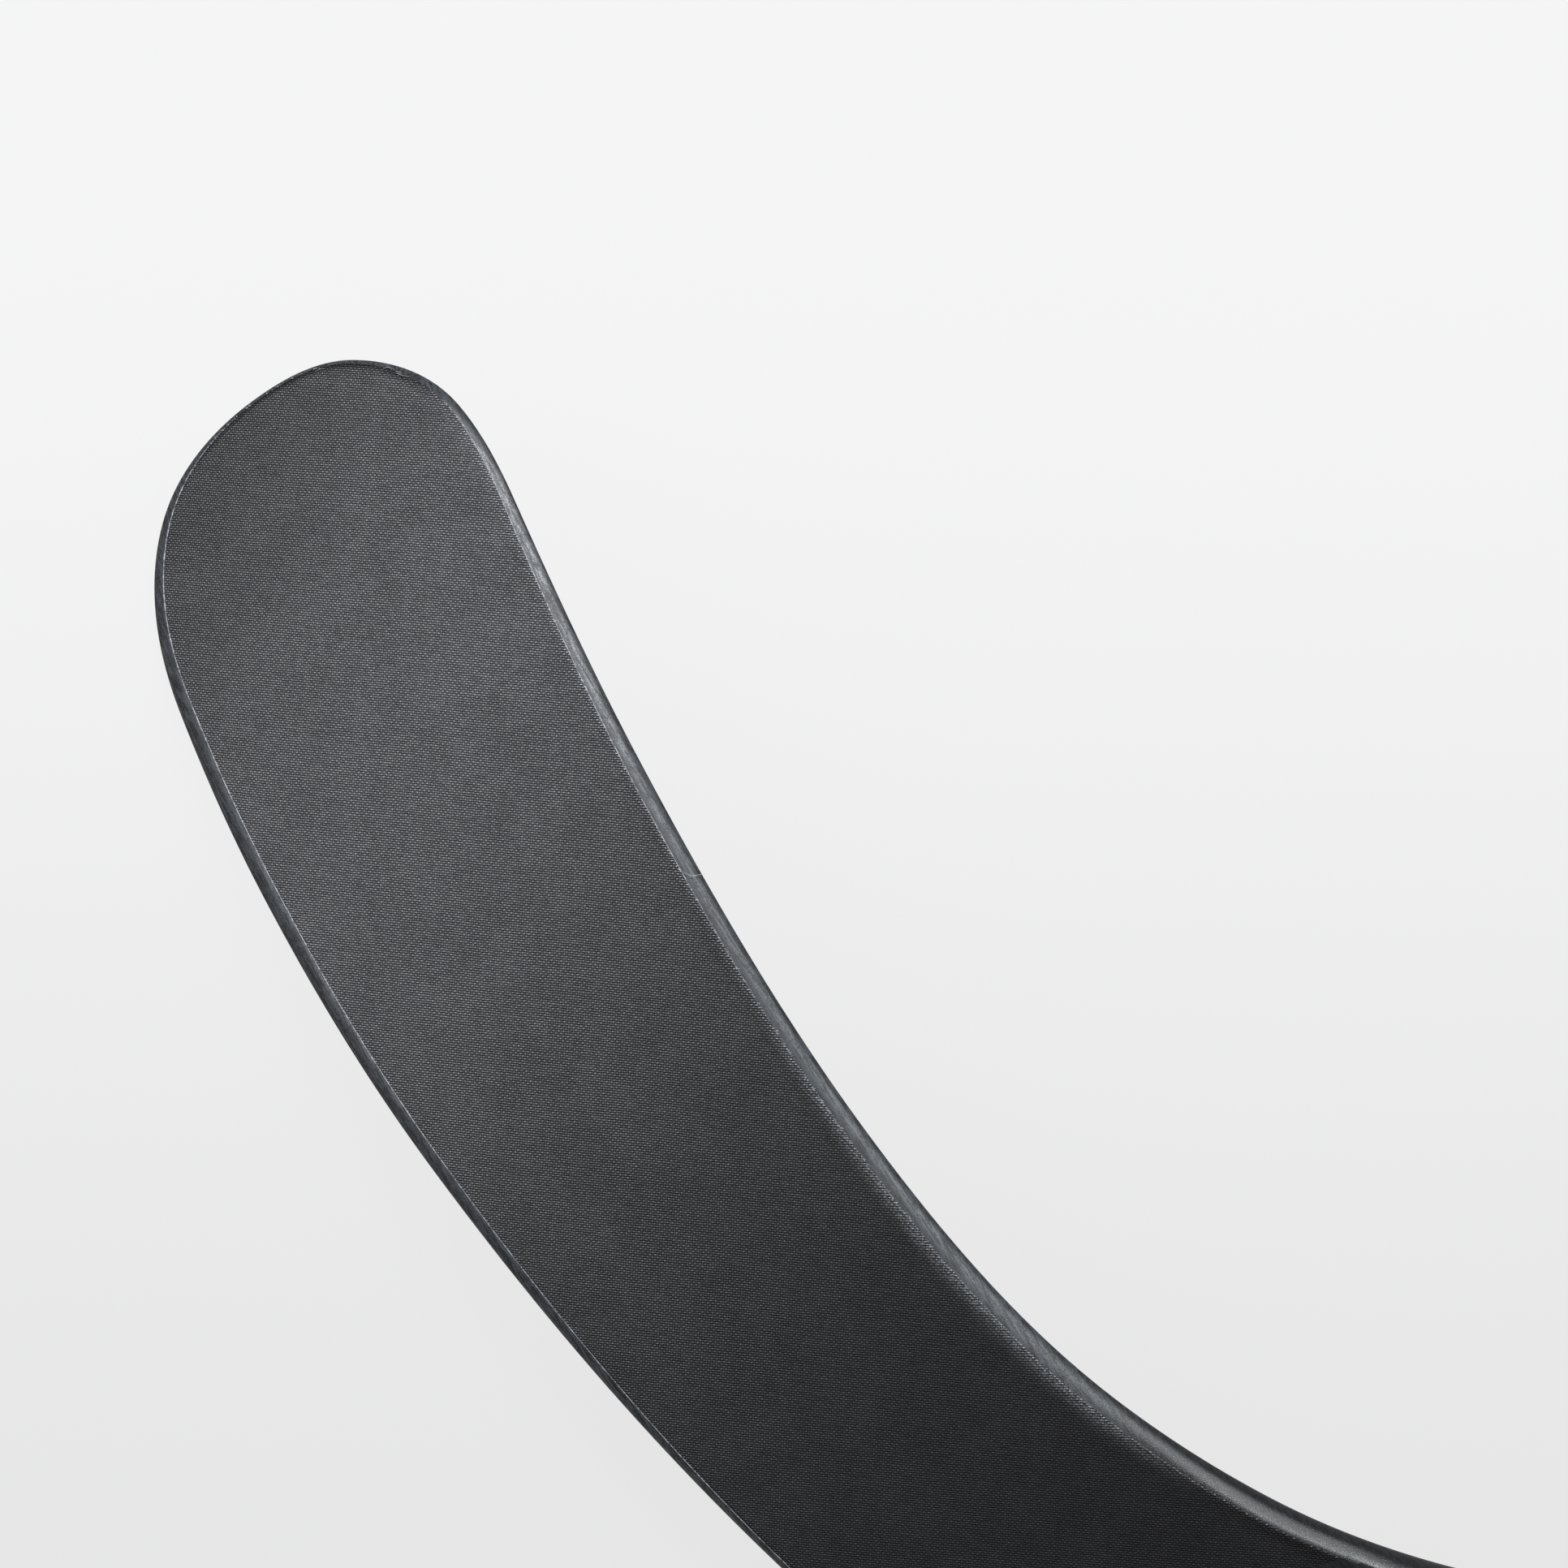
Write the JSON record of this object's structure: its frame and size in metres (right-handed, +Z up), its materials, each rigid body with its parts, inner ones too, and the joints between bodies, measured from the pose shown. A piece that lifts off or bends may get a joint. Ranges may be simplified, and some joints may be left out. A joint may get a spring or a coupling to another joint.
{
  "type": "ice hockey stick",
  "caption": "One-piece composite hockey stick with a curved, cloth-faced blade, smooth rounded edge band, tapering hosel and straight box-section shaft with an end cap.",
  "frame": {"origin": "centre of the bounding box's bottom, on the surface that the stick lies on", "axes": "+X along the shaft towards the butt, +Y towards the blade's toe, +Z up, with the back of the blade facing up"},
  "size_m": [1.6718, 0.224, 0.0395],
  "materials": {
    "woven_ply": "satin",
    "moulded_rim": "satin",
    "structural_laminate": "matte",
    "core_foam": "matte",
    "cap_rubber": "matte"
  },
  "bodies": {
    "root": {"blade_edge_band": "moulded_rim", "blade_face_back": "woven_ply", "blade_face_front": "woven_ply", "core_toe_insert": "core_foam", "core_foam_upper": "core_foam", "core_foam_lower": "core_foam", "core_rib": "structural_laminate", "hosel_shell": "moulded_rim", "hosel_filler": "core_foam", "shaft_outer_ply": "woven_ply", "shaft_inner_ply": "structural_laminate", "shaft_foam_plug": "core_foam", "butt_cap": "cap_rubber"}
  },
  "joints": []
}
